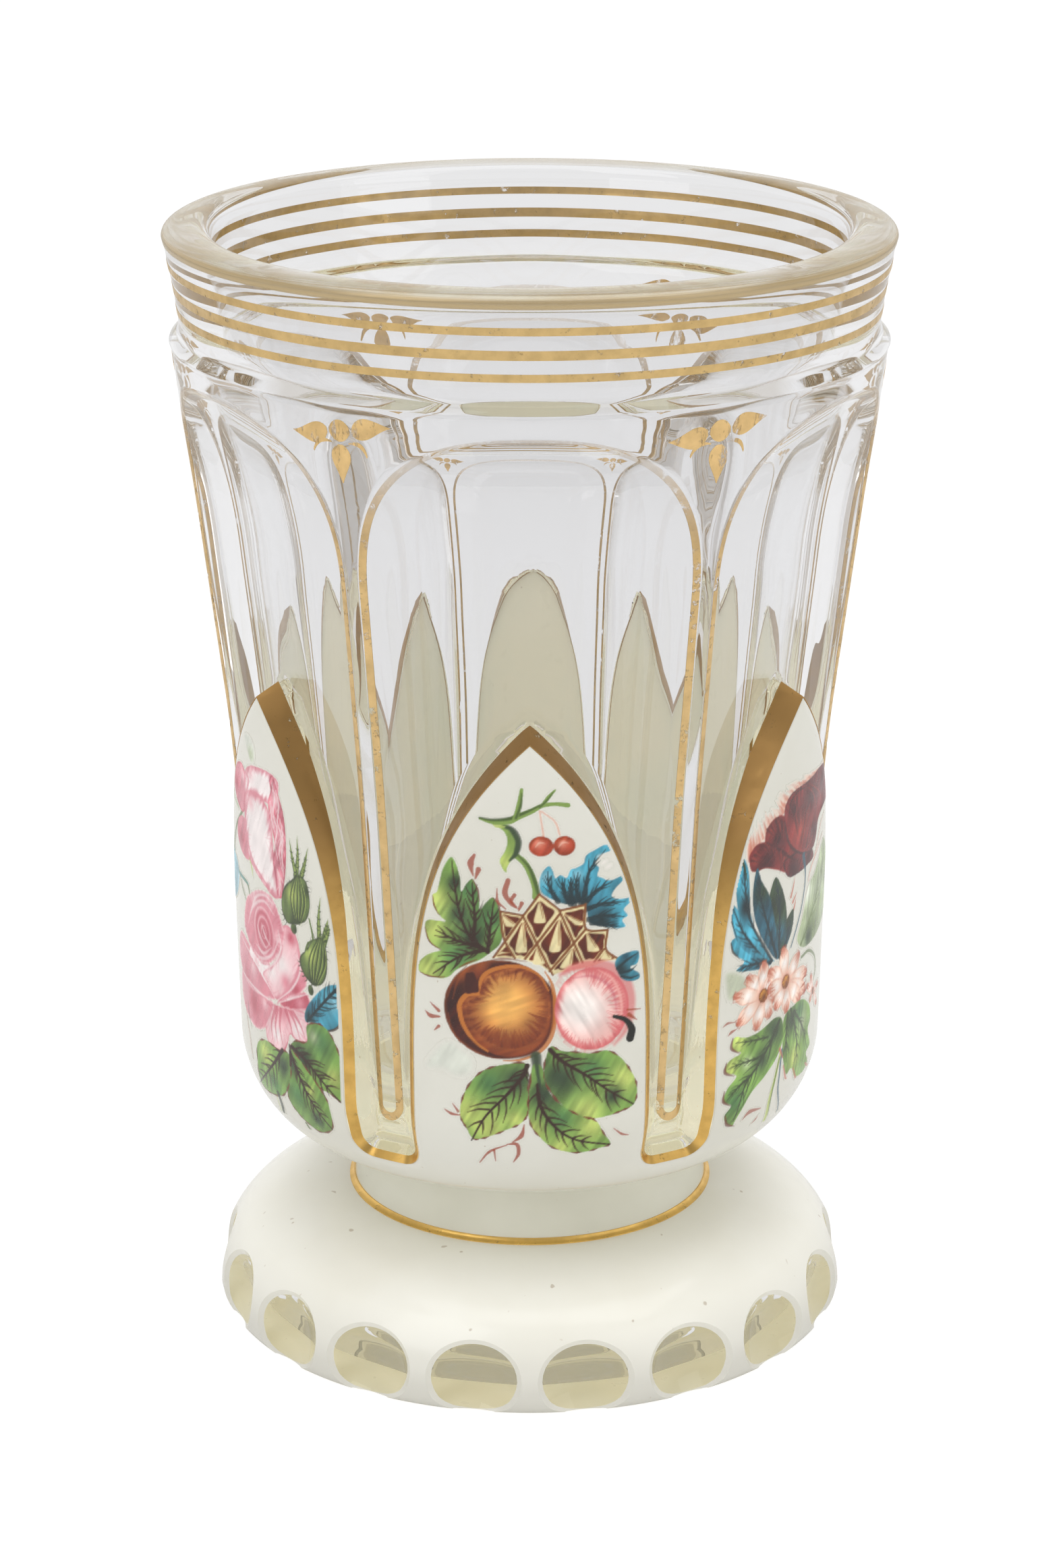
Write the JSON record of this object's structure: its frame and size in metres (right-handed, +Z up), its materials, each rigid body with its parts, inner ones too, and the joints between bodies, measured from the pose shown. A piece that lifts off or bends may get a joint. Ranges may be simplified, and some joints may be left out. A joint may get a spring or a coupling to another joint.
{
  "type": "footed beaker",
  "caption": "Footed drinking beaker of clear glass cased in white, cut with arched facets and lancets, gilded and painted with fruit and flowers",
  "frame": {"origin": "the centre of the underside of the foot, on the surface it stands on", "axes": "+Z up along the axis of the bowl; the middle of the first painted panel faces -Y"},
  "size_m": [0.093, 0.093, 0.1463],
  "materials": {
    "clear_glass": "clear colourless cut and polished glass, faintly straw-tinted where thick",
    "white_glass": "opaque white overlay glass, fire-polished, glossy, cream where seen through the clear glass",
    "cream_glass": "the same overlay ground thin round the stem, creamier and softly glossy",
    "gilding": "fired matt gold, rubbed and worn along its edges",
    "fruit_enamel": "fired enamel paint, plum, peach, pineapple and leaves, slightly raised, glossy",
    "poppy_enamel": "fired enamel paint, dark red poppy, pale daisies and leaves, slightly raised, glossy",
    "roses_enamel": "fired enamel paint, pink roses, buds and leaves, slightly raised, glossy"
  },
  "bodies": {
    "root": {"clear_bowl": "clear_glass", "bowl_casing": "white_glass", "window_gilding_1": "gilding", "rib_gilding_1": "gilding", "trefoil_1": "gilding", "fruit_painting_1": "fruit_enamel", "window_gilding_2": "gilding", "rib_gilding_2": "gilding", "trefoil_2": "gilding", "poppy_painting_2": "poppy_enamel", "window_gilding_3": "gilding", "rib_gilding_3": "gilding", "trefoil_3": "gilding", "roses_painting_3": "roses_enamel", "window_gilding_4": "gilding", "rib_gilding_4": "gilding", "trefoil_4": "gilding", "fruit_painting_4": "fruit_enamel", "window_gilding_5": "gilding", "rib_gilding_5": "gilding", "trefoil_5": "gilding", "poppy_painting_5": "poppy_enamel", "window_gilding_6": "gilding", "rib_gilding_6": "gilding", "trefoil_6": "gilding", "roses_painting_6": "roses_enamel", "lip_gilding": "gilding", "collar_band_top": "gilding", "collar_band_middle": "gilding", "collar_band_bottom": "gilding", "stem_casing": "cream_glass", "foot_line": "gilding", "clear_foot": "clear_glass", "foot_casing": "white_glass"}
  },
  "joints": []
}
